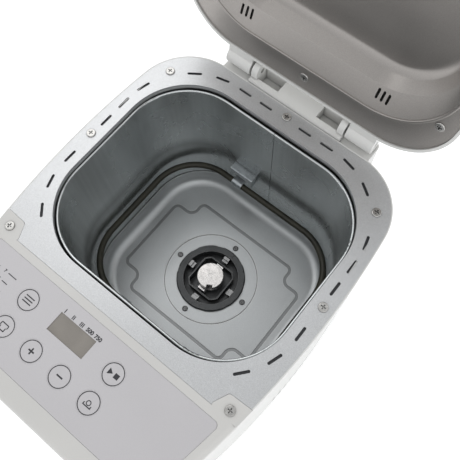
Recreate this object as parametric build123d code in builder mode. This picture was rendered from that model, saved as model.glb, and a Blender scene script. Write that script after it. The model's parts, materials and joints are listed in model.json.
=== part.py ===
from build123d import *

import os
from math import cos, hypot, radians, sin, sqrt

# Bread machine with its lid open. Millimetres, +X to the user's right, +Y to the back, +Z up.
# While it is drawn, z = 0 is the top of the metal deck and y = 0 the middle of the oven opening.
# The last section stands it on z = 0 with its box centred on the origin.

os.makedirs("parts", exist_ok=True)

# ---------------------------------------------------------------- driving dimensions
# Body
BODY_HALF = 129.8  # half the width at the widest point of the bowed sides
BODY_REAR = 118.0
BODY_FRONT = -204.0
BODY_REAR_CORNER = 53.0
BODY_FRONT_CORNER = 40.0
BOW_RADIUS = 764.0  # plan radius of the sides
BOW_Y = -10.0  # where the sides are widest
BODY_DEPTH = 236.0  # deck top down to the underside of the base
FOOT_HEIGHT = 8.0
WALL = 2.5  # plastic wall
FRONT_SEAM = -120.0  # joints in the casing wall
REAR_SEAM = 60.0
PLATE = 0.8  # sheet metal
FIT = 0.2  # gap round a dropped-in piece
WELD = 0.2  # bite of a spot-welded piece

# Deck and oven opening
RIM = 1.2  # casing rim showing round the deck plate
DECK_FRONT = -111.0
OPEN_X = 110.0  # half sizes of the oven opening
OPEN_Y = 96.0
OPEN_R = 60.0
LIP_DEPTH = 5.0
LEDGE = 8.0  # ledge under the deck plate
SLOT_LENGTH = 12.9
SLOT_WIDTH = 2.4
SLOT_INSET = 8.9  # from the opening to the row of slots, at the sides
SCREW_HEAD_R = 4.0
SCREW_HEAD = 1.2
SCREW_R = 1.5

# Control panel
BEZEL_HEIGHT = 14.0
STRIP = 6.6  # white strip between the deck and the membrane
MEMBRANE_FRONT = -187.8
MEMBRANE_INSET = 9.0
MEMBRANE = 0.8
BUTTON_R = 8.7
BUTTON_GAP = 0.8
BUTTON_TRAVEL = 0.8
BUTTON_STEM_R = 2.5
LCD_CENTRE = (-12.9, -138.0)
LCD_SIZE = (36.0, 16.4)
BOARD_DROP = 12.0  # deck top to the control board
BOARD = 1.6

# Oven
LINER_TOP = (108.5, 93.0)  # half sizes inside the wall, top and bottom
LINER_BOTTOM = (105.5, 94.5)
LINER_R = 58.0
LINER_TOP_Z = -6.6
HEM_R = 1.1
FLOOR_Z = -176.0
FLOOR_FILLET = 12.0
FLOOR_UPSTAND = 18.0
SHAFT_Y = -5.0
BEAD_HALF = (85.0, 62.0)  # pressed outline in the floor
BEAD_STEP = (23.0, 18.5)
BEAD_WIDTH = 3.6
BEAD_DEPTH = 1.2
RING_BEAD_R = 49.7
HEATER_R = 3.25
HEATER_HALF = (101.2, 84.6)
HEATER_BEND = 50.0
HEATER_Y = -1.5
HEATER_Z = -128.6
TERMINAL_X = 15.0
BRACKET_X = (-44.0, -17.0)
BRACKET_Z = (-122.5, -108.5)
BRACKET_FRONT = 85.0
SHIELD_GAP = 6.0  # liner to heat shield

# Pan seat and drive
SEAT_R = 36.7
SEAT_BORE_R = 29.4
SEAT_RISE = 2.8
SEAT_DEPTH = 14.0
COLLAR_R = 24.0
COLLAR_FLAT = 19.7
SEAT_SCREW_R = 42.7
COUPLER_R = 14.0
COUPLER_TOP = 10.0  # above the floor
SHAFT_R = 4.0
RUNNING = 0.05  # radial clearance of a turning shaft
BUSH_R = 6.0
CHASSIS_DROP = 25.5  # oven floor down to the chassis plate
PULLEY_R = 40.0  # belt seats
MOTOR_PULLEY_R = 8.0
PULLEY_WIDTH = 12.0
PULLEY_FLANGE = 2.0
BELT_WIDTH = 7.0
BELT = 1.6
BELT_GAP = 0.3
MOTOR_Y = -150.0
MOTOR_R = 29.0
MOTOR_HEIGHT = 62.0
ROTOR_R = 21.0
MOTOR_SHAFT_R = 3.0

# Lid and hinge
LID_GAP = 1.6
LID_HEIGHT = 46.0
LID_FILLET = 18.0
LID_WALL = 2.4
LID_HALF = 129.5
LID_FRONT = -112.5
LID_CORNER = 55.0
LID_FRONT_CORNER = 30.0
LID_LINER_LIFT = 3.0
LID_BEAD = 1.1  # height of the bead round the lid's hollow
BEAD_INSET = (12.5, 24.5, 22.0)  # lid bead in from the liner's side, rear and front edges
DOME_INSET = (17.0, 44.5, 34.0)
BAND_RISE = 6.0
DOME_RISE = 20.0
OPEN_ANGLE = 97.0
HINGE_Y = 130.3
HINGE_Z = 7.25
KNUCKLE_R = 9.0
KNUCKLE_X = (50.0, 75.0)
PIN_R = 2.5
HINGE_HALF = 48.0
HINGE_DEPTH = 21.0

# ---------------------------------------------------------------- shared places
BASE_Z = -BODY_DEPTH
BASE_PLATE = 3.0
CASE_BOTTOM = BASE_Z + BASE_PLATE
DECK_HALF = BODY_HALF - RIM
DECK_REAR = BODY_REAR - RIM
CHASSIS_TOP = FLOOR_Z - CHASSIS_DROP
CHASSIS = 1.5
PULLEY_TOP = CHASSIS_TOP - CHASSIS - 6.0
BELT_MID = PULLEY_TOP - PULLEY_WIDTH / 2
SLOT_X = OPEN_X + SLOT_INSET
SLOT_REAR = OPEN_Y + 11.7
SLOT_ARC_R = 68.2
SLOT_ARC_X = SLOT_X - SLOT_ARC_R
SLOT_ARC_Y = SLOT_REAR - SLOT_ARC_R
DECK_SCREWS = [(0, SLOT_REAR + 2.3)]
for hand in (-1, 1):
    DECK_SCREWS += [(hand * (SLOT_X + 1.3), -4.6), (hand * (SLOT_X - 10.5), 84.0)]
TAB_SCREWS = [(-112.6, -106.0), (112.6, -106.0)]
BUTTONS = {
    "button_menu": (-57.2, -139.2),
    "button_colour": (-57.2, -165.0),
    "button_plus": (-27.7, -165.0),
    "button_minus": (1.6, -165.0),
    "button_start": (30.9, -139.2),
    "button_weight": (30.9, -165.0),
}
BRACKET_MID = (BRACKET_X[0] + BRACKET_X[1]) / 2
SENSOR_LEADS = [(BRACKET_MID - 4.5, BRACKET_Z[0] + 7), (BRACKET_MID + 4.5, BRACKET_Z[0] + 7)]
FEET = [(-95, -165), (95, -165), (-95, 80), (95, 80)]
pieces = {}


def side_x(half, y):
    """Half width of a bowed outline at y."""
    return half - BOW_RADIUS + sqrt(BOW_RADIUS**2 - (y - BOW_Y) ** 2)


def outline(half, rear, front, rear_corner, front_corner):
    """Plan with bowed sides, straight front and back, and rounded corners."""
    middle = (rear + front) / 2
    with BuildSketch() as plan:
        with BuildLine():
            Line((-side_x(half, rear), rear), (side_x(half, rear), rear))
            ThreePointArc((side_x(half, rear), rear), (side_x(half, middle), middle), (side_x(half, front), front))
            Line((side_x(half, front), front), (-side_x(half, front), front))
            ThreePointArc((-side_x(half, front), front), (-side_x(half, middle), middle), (-side_x(half, rear), rear))
        make_face()
        fillet(plan.vertices().group_by(Axis.Y)[-1], rear_corner)
        if front_corner:
            fillet(plan.vertices().group_by(Axis.Y)[0], front_corner)
    return plan.sketch


def body_outline(inset):
    """The body's plan, drawn in by inset."""
    return outline(
        BODY_HALF - inset,
        BODY_REAR - inset,
        BODY_FRONT + inset,
        BODY_REAR_CORNER - inset,
        BODY_FRONT_CORNER - inset,
    )


def deck_outline(inset):
    """The deck plate's plan, drawn in by inset at the sides and back."""
    return outline(DECK_HALF - inset, DECK_REAR - inset, DECK_FRONT + FIT, BODY_REAR_CORNER - RIM - inset, 0)


def corner_tabs(gap):
    """The bezel's two tabs, which reach round the deck plate's front corners."""
    with BuildSketch() as tabs:
        with BuildLine():
            FilletPolyline(
                (BODY_HALF, -95.7 + gap),
                (105.0 - gap, -96.9 + gap),
                (98.0 - gap, DECK_FRONT - 1),
                (BODY_HALF, DECK_FRONT - 1),
                radius=2.5,
                close=True,
            )
        make_face()
        mirror(about=Plane.YZ)
        add(body_outline(0), mode=Mode.INTERSECT)
    return tabs.sketch


def step_outline(half_x, half_y, centre_y, grow):
    """The floor's pressed outline: a rectangle with a rounded step at each corner."""
    ax, ay = half_x + grow, half_y + grow
    bx, by = half_x - BEAD_STEP[0] + grow, half_y - BEAD_STEP[1] + grow
    with BuildSketch() as plan:
        with Locations((0, centre_y)):
            Rectangle(2 * ax, 2 * by)
            Rectangle(2 * bx, 2 * ay)
        inner = [v for v in plan.vertices() if hypot(abs(v.X) - bx, abs(v.Y - centre_y) - by) < 0.01]
        fillet(inner, 8.5 - grow)
        outer = [v for v in plan.vertices() if abs(abs(v.X) - ax) < 0.01 and abs(v.Y - centre_y) > by - 1]
        outer += [v for v in plan.vertices() if abs(abs(v.Y - centre_y) - ay) < 0.01 and abs(v.X) > bx - 1]
        fillet(outer, 6 + grow)
    return plan.sketch


def screws(points, top, length, side=1):
    """Pan-head screws with cross recesses. The heads stand on z = top, on the side given."""
    with BuildPart() as group:
        for x, y in points:
            with BuildSketch(Plane.XY.offset(top)):
                with Locations((x, y)):
                    Circle(SCREW_HEAD_R)
            extrude(amount=side * SCREW_HEAD)
            with BuildSketch(Plane.XY.offset(top)):
                with Locations((x, y)):
                    Circle(SCREW_R)
            extrude(amount=-side * length)
        rims = group.edges().filter_by(GeomType.CIRCLE).group_by(Axis.Z)[-1 if side > 0 else 0]
        fillet(rims, SCREW_HEAD * 0.6)
        with BuildSketch(Plane.XY.offset(top + side * SCREW_HEAD)):
            with Locations(*points):
                Rectangle(4.2, 1.0)
                Rectangle(1.0, 4.2)
        extrude(amount=-side * 0.9, mode=Mode.SUBTRACT)
    return group


# ---------------------------------------------------------------- deck plate
with BuildPart() as deck_plate:
    with BuildSketch(Plane.XY.offset(-PLATE)):
        add(deck_outline(0))
        add(corner_tabs(FIT), mode=Mode.SUBTRACT)
        RectangleRounded(2 * OPEN_X, 2 * OPEN_Y, OPEN_R, mode=Mode.SUBTRACT)
        with Locations(*DECK_SCREWS):
            Circle(SCREW_R + FIT, mode=Mode.SUBTRACT)
        for hand in (-1, 1):
            with Locations(*[(hand * SLOT_X, y) for y in (34.8, 12.6, -31.4)]):
                SlotOverall(SLOT_LENGTH, SLOT_WIDTH, rotation=90, mode=Mode.SUBTRACT)
            with Locations(*[(hand * x, SLOT_REAR) for x in (20.6, 42.9)]):
                SlotOverall(SLOT_LENGTH, SLOT_WIDTH, mode=Mode.SUBTRACT)
            for angle in (15.3, 55.0, 76.5, -18.5, -40.5):
                arc_y = SLOT_ARC_Y if angle > 0 else 3.4 - SLOT_ARC_Y
                x = SLOT_ARC_X + SLOT_ARC_R * cos(radians(angle))
                y = arc_y + SLOT_ARC_R * sin(radians(angle))
                with Locations((hand * x, y)):
                    SlotOverall(SLOT_LENGTH, SLOT_WIDTH, rotation=hand * angle + 90, mode=Mode.SUBTRACT)
    extrude(amount=PLATE)
    with BuildSketch(Plane.XY.offset(-LIP_DEPTH)):
        RectangleRounded(2 * (OPEN_X + PLATE), 2 * (OPEN_Y + PLATE), OPEN_R + PLATE)
        RectangleRounded(2 * OPEN_X, 2 * OPEN_Y, OPEN_R, mode=Mode.SUBTRACT)
    extrude(amount=LIP_DEPTH)
pieces["deck_plate"] = deck_plate

deck_screws = screws(DECK_SCREWS, 0, 10)
pieces["deck_screws"] = deck_screws

# ---------------------------------------------------------------- outer casing
CORD_X = 86.0
CORD_Z = BASE_Z + 26.0
GLAND_R = 8.0
VENT_ROWS = [-60 + 9 * i for i in range(12)]
with BuildPart() as casing:
    with BuildSketch(Plane.XY.offset(CASE_BOTTOM)):
        add(body_outline(0))
        add(body_outline(WALL), mode=Mode.SUBTRACT)
    extrude(amount=-CASE_BOTTOM)
    with BuildSketch(Plane.XY.offset(-PLATE - 3.2)):
        add(body_outline(1))
        add(body_outline(RIM + LEDGE), mode=Mode.SUBTRACT)
        with Locations(*DECK_SCREWS):
            Circle(4.5)
    extrude(amount=3.2)
    with BuildSketch(Plane.XY.offset(-14)):
        with Locations(*DECK_SCREWS):
            Circle(4.5)
    extrude(amount=14 - PLATE)
    with BuildSketch(Plane.XY.offset(-14)):
        with Locations(*DECK_SCREWS):
            Circle(SCREW_R)
    extrude(amount=14, mode=Mode.SUBTRACT)
    # Recess for the deck plate, and the front that the control bezel takes over
    with BuildSketch(Plane.XY.offset(-PLATE)):
        add(body_outline(RIM - FIT / 2))
    extrude(amount=PLATE, mode=Mode.SUBTRACT)
    with BuildSketch(Plane.XY.offset(-BEZEL_HEIGHT - FIT)):
        with Locations((0, BODY_FRONT)):
            Rectangle(2 * BODY_HALF + 2, 2 * (DECK_FRONT - BODY_FRONT))
    extrude(amount=BEZEL_HEIGHT + FIT, mode=Mode.SUBTRACT)
    with BuildSketch(Plane.XY.offset(-WALL - FIT)):
        add(corner_tabs(FIT))
    extrude(amount=WALL + FIT, mode=Mode.SUBTRACT)
    with BuildSketch(Plane.XY.offset(-14)):
        with Locations(*TAB_SCREWS):
            Circle(SCREW_R)
    extrude(amount=14, mode=Mode.SUBTRACT)
    # Cooling slots low in both side walls
    with BuildSketch(Plane.YZ.offset(-BODY_HALF - 5)):
        with Locations(*[(y, BASE_Z + 38) for y in VENT_ROWS]):
            SlotOverall(34, 3, rotation=90)
    extrude(amount=2 * BODY_HALF + 10, mode=Mode.SUBTRACT)
    # Round hole in the back for the cord gland
    with BuildSketch(Plane.XZ.offset(-BODY_REAR - 5)):
        with Locations((CORD_X - 20, CORD_Z)):
            Circle(GLAND_R)
    extrude(amount=15, mode=Mode.SUBTRACT)

# The wall is four panels, joined by seams near the corners
CASING_PANELS = {
    "casing_front": (-150, 150, BODY_FRONT - 10, FRONT_SEAM),
    "casing_left": (-150, 0, FRONT_SEAM, REAR_SEAM),
    "casing_right": (0, 150, FRONT_SEAM, REAR_SEAM),
    "casing_rear": (-150, 150, REAR_SEAM, BODY_REAR + 10),
}
for name, (left, right, front, rear) in CASING_PANELS.items():
    with BuildPart() as panel:
        add(casing.part)
        with BuildSketch(Plane.XY.offset(CASE_BOTTOM - 1)):
            with Locations(((left + right) / 2, (front + rear) / 2)):
                Rectangle(right - left, rear - front)
        extrude(amount=2 - CASE_BOTTOM, mode=Mode.INTERSECT)
    pieces[name] = panel

with BuildPart() as cord_gland:
    with BuildSketch(Plane.XZ.offset(-BODY_REAR - 3)):
        with Locations((CORD_X - 20, CORD_Z)):
            Circle(GLAND_R + 2.5)
            Circle(4.25, mode=Mode.SUBTRACT)
    extrude(amount=3)
    with BuildSketch(Plane.XZ.offset(-BODY_REAR)):
        with Locations((CORD_X - 20, CORD_Z)):
            Circle(GLAND_R - 0.1)
            Circle(4.25, mode=Mode.SUBTRACT)
    extrude(amount=9)
    fillet(cord_gland.edges().filter_by(GeomType.CIRCLE).group_by(Axis.Y)[-1].sort_by(SortBy.RADIUS)[-1], 1.5)
pieces["cord_gland"] = cord_gland

# ---------------------------------------------------------------- control bezel and membrane
BOARD_POSTS = [(-95, -127), (75, -127), (-85, -180), (75, -180)]
with BuildPart() as control_bezel:
    with BuildSketch(Plane.XY.offset(-BEZEL_HEIGHT)):
        add(body_outline(0))
        with Locations((0, DECK_FRONT + 200)):
            Rectangle(400, 400, mode=Mode.SUBTRACT)
    extrude(amount=BEZEL_HEIGHT)
    front_edges = control_bezel.faces().sort_by(Axis.Z)[-1].edges().filter_by(lambda e: e.center().Y < DECK_FRONT - 0.5)
    fillet(front_edges, 5)
    with BuildSketch(Plane.XY.offset(-BEZEL_HEIGHT)):
        add(body_outline(WALL + 1))
        with Locations((0, DECK_FRONT - WALL + 200)):
            Rectangle(400, 400, mode=Mode.SUBTRACT)
    extrude(amount=BEZEL_HEIGHT - WALL, mode=Mode.SUBTRACT)
    with BuildSketch(Plane.XY.offset(-WALL)):
        add(corner_tabs(0))
    extrude(amount=WALL)
    with BuildSketch(Plane.XY.offset(-MEMBRANE)) as pocket:
        add(outline(BODY_HALF - MEMBRANE_INSET, DECK_FRONT - STRIP, MEMBRANE_FRONT, 4, 10))
    extrude(amount=MEMBRANE, mode=Mode.SUBTRACT)
    with BuildSketch(Plane.XY.offset(-WALL)):
        with Locations(*BUTTONS.values()):
            Circle(BUTTON_R + BUTTON_GAP + 0.4)
        with Locations(LCD_CENTRE):
            Rectangle(LCD_SIZE[0] + 3, LCD_SIZE[1] + 3)
        with Locations(*TAB_SCREWS):
            Circle(SCREW_R + FIT)
    extrude(amount=WALL, mode=Mode.SUBTRACT)
    with BuildSketch(Plane.XY.offset(-BOARD_DROP)):
        with Locations(*BOARD_POSTS):
            Circle(3.5)
            Circle(SCREW_R, mode=Mode.SUBTRACT)
    extrude(amount=BOARD_DROP - WALL)
pieces["control_bezel"] = control_bezel

bezel_tab_screws = screws(TAB_SCREWS, 0, 10)
pieces["bezel_tab_screws"] = bezel_tab_screws

with BuildPart() as control_membrane:
    with BuildSketch(Plane.XY.offset(-MEMBRANE)):
        inset = MEMBRANE_INSET + FIT
        add(outline(BODY_HALF - inset, DECK_FRONT - STRIP - FIT, MEMBRANE_FRONT + FIT, 4, 10))
        with Locations(*BUTTONS.values()):
            Circle(BUTTON_R + BUTTON_GAP, mode=Mode.SUBTRACT)
        with Locations(LCD_CENTRE):
            Rectangle(*LCD_SIZE, mode=Mode.SUBTRACT)
    extrude(amount=MEMBRANE)
pieces["control_membrane"] = control_membrane

with BuildPart() as lcd_panel:
    with BuildSketch(Plane.XY.offset(-MEMBRANE)):
        with Locations(LCD_CENTRE):
            Rectangle(LCD_SIZE[0] + 2.4, LCD_SIZE[1] + 2.4)
    extrude(amount=-3)
pieces["lcd_panel"] = lcd_panel

with BuildPart() as lcd_holder:
    with BuildSketch(Plane.XY.offset(-MEMBRANE - 3)):
        with Locations(LCD_CENTRE):
            Rectangle(LCD_SIZE[0] + 2.4, LCD_SIZE[1] + 2.4)
            Rectangle(LCD_SIZE[0] - 2, LCD_SIZE[1] - 2, mode=Mode.SUBTRACT)
    extrude(amount=-(BOARD_DROP - MEMBRANE - 3))
pieces["lcd_holder"] = lcd_holder

# ---------------------------------------------------------------- buttons
STEM_END = -MEMBRANE - 6.0
for name, (x, y) in BUTTONS.items():
    with BuildPart() as button:
        with BuildSketch(Plane.XY.offset(-2.2)):
            with Locations((x, y)):
                Circle(BUTTON_R)
        extrude(amount=2.2)
        fillet(button.edges().group_by(Axis.Z)[-1], 0.3)
        with BuildSketch(Plane.XY.offset(-WALL - 1.25)):
            with Locations((x, y)):
                Circle(BUTTON_R + BUTTON_GAP + 1.2)
        extrude(amount=1.2)
        with BuildSketch(Plane.XY.offset(STEM_END)):
            with Locations((x, y)):
                Circle(BUTTON_STEM_R)
        extrude(amount=-STEM_END - 1)
    pieces[name] = button

with BuildPart() as control_board:
    with BuildSketch(Plane.XY.offset(-BOARD_DROP - BOARD)):
        with Locations((-10, -153.5)):
            Rectangle(182, 63)
        with Locations(*BOARD_POSTS):
            Circle(SCREW_R + FIT, mode=Mode.SUBTRACT)
        with Locations((-100, -184)):
            Rectangle(30, 30, rotation=45, mode=Mode.SUBTRACT)
    extrude(amount=BOARD)
pieces["control_board"] = control_board

board_screws = screws(BOARD_POSTS, -BOARD_DROP - BOARD, 7, side=-1)
pieces["board_screws"] = board_screws

SWITCH_TOP = STEM_END - BUTTON_TRAVEL - 0.1
with BuildPart() as tact_switches:
    with BuildSketch(Plane.XY.offset(-BOARD_DROP)):
        with Locations(*BUTTONS.values()):
            Rectangle(6, 6)
    extrude(amount=3.4)
    with BuildSketch(Plane.XY.offset(-BOARD_DROP)):
        with Locations(*BUTTONS.values()):
            Circle(1.7)
    extrude(amount=SWITCH_TOP + BOARD_DROP)
pieces["tact_switches"] = tact_switches

# ---------------------------------------------------------------- oven liner and floor


def liner_y(z):
    """Half depth inside the tapered liner at height z."""
    return LINER_TOP[1] + (LINER_BOTTOM[1] - LINER_TOP[1]) * (LINER_TOP_Z - z) / (LINER_TOP_Z - FLOOR_Z + PLATE)


HEM_IN = HEM_R - PLATE / 2
with BuildPart() as rolled_hem:
    with BuildSketch(Plane.XY.offset(LINER_TOP_Z - HEM_R)):
        grow = HEM_R + PLATE / 2
        RectangleRounded(2 * (LINER_TOP[0] + grow), 2 * (LINER_TOP[1] + grow), LINER_R + grow)
        RectangleRounded(2 * (LINER_TOP[0] - HEM_IN), 2 * (LINER_TOP[1] - HEM_IN), LINER_R - HEM_IN, mode=Mode.SUBTRACT)
    extrude(amount=2 * HEM_R)
    fillet(rolled_hem.edges(), HEM_R * 0.95)

with BuildPart() as oven_liner:
    with BuildSketch(Plane.XY.offset(LINER_TOP_Z)):
        RectangleRounded(2 * (LINER_TOP[0] + PLATE), 2 * (LINER_TOP[1] + PLATE), LINER_R + PLATE)
    with BuildSketch(Plane.XY.offset(FLOOR_Z - PLATE)):
        RectangleRounded(2 * (LINER_BOTTOM[0] + PLATE), 2 * (LINER_BOTTOM[1] + PLATE), LINER_R + PLATE)
    loft()
    with BuildSketch(Plane.XY.offset(LINER_TOP_Z)):
        RectangleRounded(2 * LINER_TOP[0], 2 * LINER_TOP[1], LINER_R)
    with BuildSketch(Plane.XY.offset(FLOOR_Z - PLATE)):
        RectangleRounded(2 * LINER_BOTTOM[0], 2 * LINER_BOTTOM[1], LINER_R)
    loft(mode=Mode.SUBTRACT)
    add(rolled_hem.part)
    # Flange turned in under the floor pan
    with BuildSketch(Plane.XY.offset(FLOOR_Z - 2 * PLATE)):
        RectangleRounded(2 * (LINER_BOTTOM[0] + PLATE), 2 * (LINER_BOTTOM[1] + PLATE), LINER_R + PLATE)
        with Locations((0, -2)):
            RectangleRounded(2 * LINER_BOTTOM[0] - 33, 2 * LINER_BOTTOM[1] - 33, LINER_R - 16, mode=Mode.SUBTRACT)
    extrude(amount=PLATE)
    # Seam down the middle of the back, closed by a strap outside
    with BuildSketch(Plane.XY.offset(FLOOR_Z + 2)):
        with Locations((0, LINER_BOTTOM[1])):
            Rectangle(0.5, 6)
    extrude(amount=-FLOOR_Z - 2, mode=Mode.SUBTRACT)
    with BuildSketch(Plane.XY.offset(FLOOR_Z + 4)):
        with Locations((0, LINER_BOTTOM[1] + PLATE + 0.3)):
            Rectangle(12, 1.4)
    extrude(amount=LINER_TOP_Z - FLOOR_Z - 8)
    with BuildSketch(Plane.XZ.offset(LINER_TOP[1] - 5)):
        with Locations((-TERMINAL_X, HEATER_Z), (TERMINAL_X, HEATER_Z)):
            Circle(HEATER_R + 0.4)
    extrude(amount=12, mode=Mode.SUBTRACT)
    with BuildSketch(Plane.XZ.offset(-LINER_TOP[1] + 5)):
        with Locations(*SENSOR_LEADS):
            Circle(1.5)
    extrude(amount=-12, mode=Mode.SUBTRACT)
pieces["oven_liner"] = oven_liner

PAN_X, PAN_Y = LINER_BOTTOM[0] - 0.3, LINER_BOTTOM[1] - 0.3
with BuildPart() as pan_hollow:
    with BuildSketch(Plane.XY.offset(FLOOR_Z)):
        RectangleRounded(2 * (PAN_X - PLATE), 2 * (PAN_Y - PLATE), LINER_R - 0.3 - PLATE)
    extrude(amount=FLOOR_UPSTAND + 5)
    fillet(pan_hollow.faces().sort_by(Axis.Z)[0].edges(), FLOOR_FILLET)

with BuildPart() as oven_floor_pan:
    with BuildSketch(Plane.XY.offset(FLOOR_Z - PLATE)):
        RectangleRounded(2 * PAN_X, 2 * PAN_Y, LINER_R - 0.3)
    extrude(amount=FLOOR_UPSTAND)
    fillet(oven_floor_pan.faces().sort_by(Axis.Z)[0].edges(), FLOOR_FILLET + PLATE)
    with BuildSketch(Plane.XY.offset(FLOOR_Z - PLATE - BEAD_DEPTH)):
        add(step_outline(*BEAD_HALF, SHAFT_Y, BEAD_WIDTH / 2 + PLATE))
        add(step_outline(*BEAD_HALF, SHAFT_Y, -BEAD_WIDTH / 2 - PLATE), mode=Mode.SUBTRACT)
    extrude(amount=BEAD_DEPTH + PLATE / 2)
    add(pan_hollow.part, mode=Mode.SUBTRACT)
    with BuildSketch(Plane.XY.offset(FLOOR_Z - BEAD_DEPTH)):
        add(step_outline(*BEAD_HALF, SHAFT_Y, BEAD_WIDTH / 2))
        add(step_outline(*BEAD_HALF, SHAFT_Y, -BEAD_WIDTH / 2), mode=Mode.SUBTRACT)
    extrude(amount=BEAD_DEPTH, mode=Mode.SUBTRACT)
    with BuildSketch(Plane.XY.offset(FLOOR_Z - 0.5)):
        with Locations((0, SHAFT_Y)):
            Circle(RING_BEAD_R + 0.7)
            Circle(RING_BEAD_R - 0.7, mode=Mode.SUBTRACT)
    extrude(amount=0.5, mode=Mode.SUBTRACT)
    with BuildSketch(Plane.XY.offset(FLOOR_Z - 5)):
        with Locations((0, SHAFT_Y)):
            Circle(SEAT_BORE_R + 2.6)
            with PolarLocations(SEAT_SCREW_R, 4):
                Circle(SCREW_R + FIT)
    extrude(amount=10, mode=Mode.SUBTRACT)
pieces["oven_floor_pan"] = oven_floor_pan

# ---------------------------------------------------------------- heater and sensor
TERMINAL_Y = -LINER_TOP[1] - 14.0
with BuildPart() as heating_element:
    with BuildLine(Plane.XY.offset(HEATER_Z)) as loop:
        hx, rear, front = HEATER_HALF[0], HEATER_Y + HEATER_HALF[1], HEATER_Y - HEATER_HALF[1]
        FilletPolyline(
            (-TERMINAL_X, TERMINAL_Y),
            (-TERMINAL_X, front),
            (-hx, front),
            (-hx, rear),
            (hx, rear),
            (hx, front),
            (TERMINAL_X, front),
            (TERMINAL_X, TERMINAL_Y),
            radius=(7, HEATER_BEND, HEATER_BEND, HEATER_BEND, HEATER_BEND, 7),
        )
    with BuildSketch(Plane(origin=loop.line @ 0, z_dir=loop.line % 0)):
        Circle(HEATER_R)
    sweep()
pieces["heating_element"] = heating_element

with BuildPart() as heater_bushings:
    with BuildSketch(Plane.XZ.offset(liner_y(HEATER_Z - HEATER_R - 3) + PLATE)):
        with Locations((-TERMINAL_X, HEATER_Z), (TERMINAL_X, HEATER_Z)):
            Circle(HEATER_R + 3)
            Circle(HEATER_R, mode=Mode.SUBTRACT)
    extrude(amount=6)
pieces["heater_bushings"] = heater_bushings

CLIP_PLACES = [(-33.0, 1), (40.0, -1), (-40.0, -1)]
with BuildPart() as heater_clips:
    for x, end in CLIP_PLACES:
        tube_y = HEATER_Y + end * HEATER_HALF[1]
        wall_y = end * (liner_y(HEATER_Z) + WELD)
        with BuildSketch(Plane.YZ.offset(x - 6)):
            with Locations((tube_y, HEATER_Z)):
                Circle(HEATER_R + 1)
            with Locations(((tube_y + wall_y) / 2, HEATER_Z + HEATER_R + 0.5)):
                Rectangle(abs(wall_y - tube_y), 1)
            with Locations((tube_y, HEATER_Z)):
                Circle(HEATER_R, mode=Mode.SUBTRACT)
            with Locations((tube_y, HEATER_Z - 4)):
                Rectangle(3.2, 8, mode=Mode.SUBTRACT)
        extrude(amount=12)
pieces["heater_clips"] = heater_clips

BRACKET_REAR = liner_y(BRACKET_Z[0]) + WELD
BRACKET_LENGTH = BRACKET_X[1] - BRACKET_X[0]
with BuildPart() as sensor_bracket:
    with BuildSketch(Plane.XY.offset(BRACKET_Z[0])):
        with Locations((BRACKET_MID, (BRACKET_FRONT + BRACKET_REAR) / 2)):
            Rectangle(BRACKET_LENGTH, BRACKET_REAR - BRACKET_FRONT)
    extrude(amount=BRACKET_Z[1] - BRACKET_Z[0])
    fillet(sensor_bracket.edges().filter_by(Axis.X).group_by(Axis.Z)[-1].sort_by(Axis.Y)[0], 1.2)
    with BuildSketch(Plane.XY.offset(BRACKET_Z[0])):
        with Locations((BRACKET_MID, (BRACKET_FRONT + BRACKET_REAR) / 2)):
            Rectangle(BRACKET_LENGTH - 2, BRACKET_REAR - BRACKET_FRONT - 2)
    extrude(amount=BRACKET_Z[1] - BRACKET_Z[0] - 1, mode=Mode.SUBTRACT)
    with BuildSketch(Plane.XZ.offset(-BRACKET_FRONT - 3)):
        with Locations((BRACKET_MID, BRACKET_Z[0] + 4)):
            Rectangle(BRACKET_LENGTH - 2, 8)
    extrude(amount=6, mode=Mode.SUBTRACT)
    with BuildSketch(Plane.XZ.offset(-LINER_TOP[1] + 4.2)):
        with Locations(*SENSOR_LEADS):
            Circle(1.5)
    extrude(amount=-12, mode=Mode.SUBTRACT)
pieces["sensor_bracket"] = sensor_bracket

with BuildPart() as temperature_sensor:
    with BuildSketch(Plane.YZ.offset(BRACKET_X[0] + 4)):
        with Locations((LINER_TOP[1] - 4.2, BRACKET_Z[0] + 7)):
            Circle(2.4)
    extrude(amount=18)
    chamfer(temperature_sensor.edges().filter_by(GeomType.CIRCLE), 0.6)
    with BuildSketch(Plane.XZ.offset(-LINER_TOP[1] + 4.2)):
        with Locations(*SENSOR_LEADS):
            Circle(1.2)
    extrude(amount=-9)
pieces["temperature_sensor"] = temperature_sensor

with BuildPart() as thermal_fuse:
    with BuildSketch(Plane.YZ.offset(40)):
        with Locations((liner_y(HEATER_Z) + PLATE + 2 - WELD, HEATER_Z)):
            Circle(2)
    extrude(amount=14)
pieces["thermal_fuse"] = thermal_fuse

SHIELD_X = max(LINER_TOP[0], LINER_BOTTOM[0]) + SHIELD_GAP
SHIELD_Y = max(LINER_TOP[1], LINER_BOTTOM[1]) + SHIELD_GAP
with BuildPart() as heat_shield:
    with BuildSketch(Plane.XY.offset(FLOOR_Z - 12)):
        RectangleRounded(2 * (SHIELD_X + 0.6), 2 * (SHIELD_Y + 0.6), LINER_R + SHIELD_GAP)
        RectangleRounded(2 * SHIELD_X, 2 * SHIELD_Y, LINER_R + SHIELD_GAP - 0.6, mode=Mode.SUBTRACT)
    extrude(amount=12 - FLOOR_Z - PLATE)
    with BuildSketch(Plane.XZ.offset(SHIELD_Y - 5)):
        with Locations((-TERMINAL_X, HEATER_Z), (TERMINAL_X, HEATER_Z)):
            Circle(HEATER_R + 4)
    extrude(amount=12, mode=Mode.SUBTRACT)
pieces["heat_shield"] = heat_shield

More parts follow.
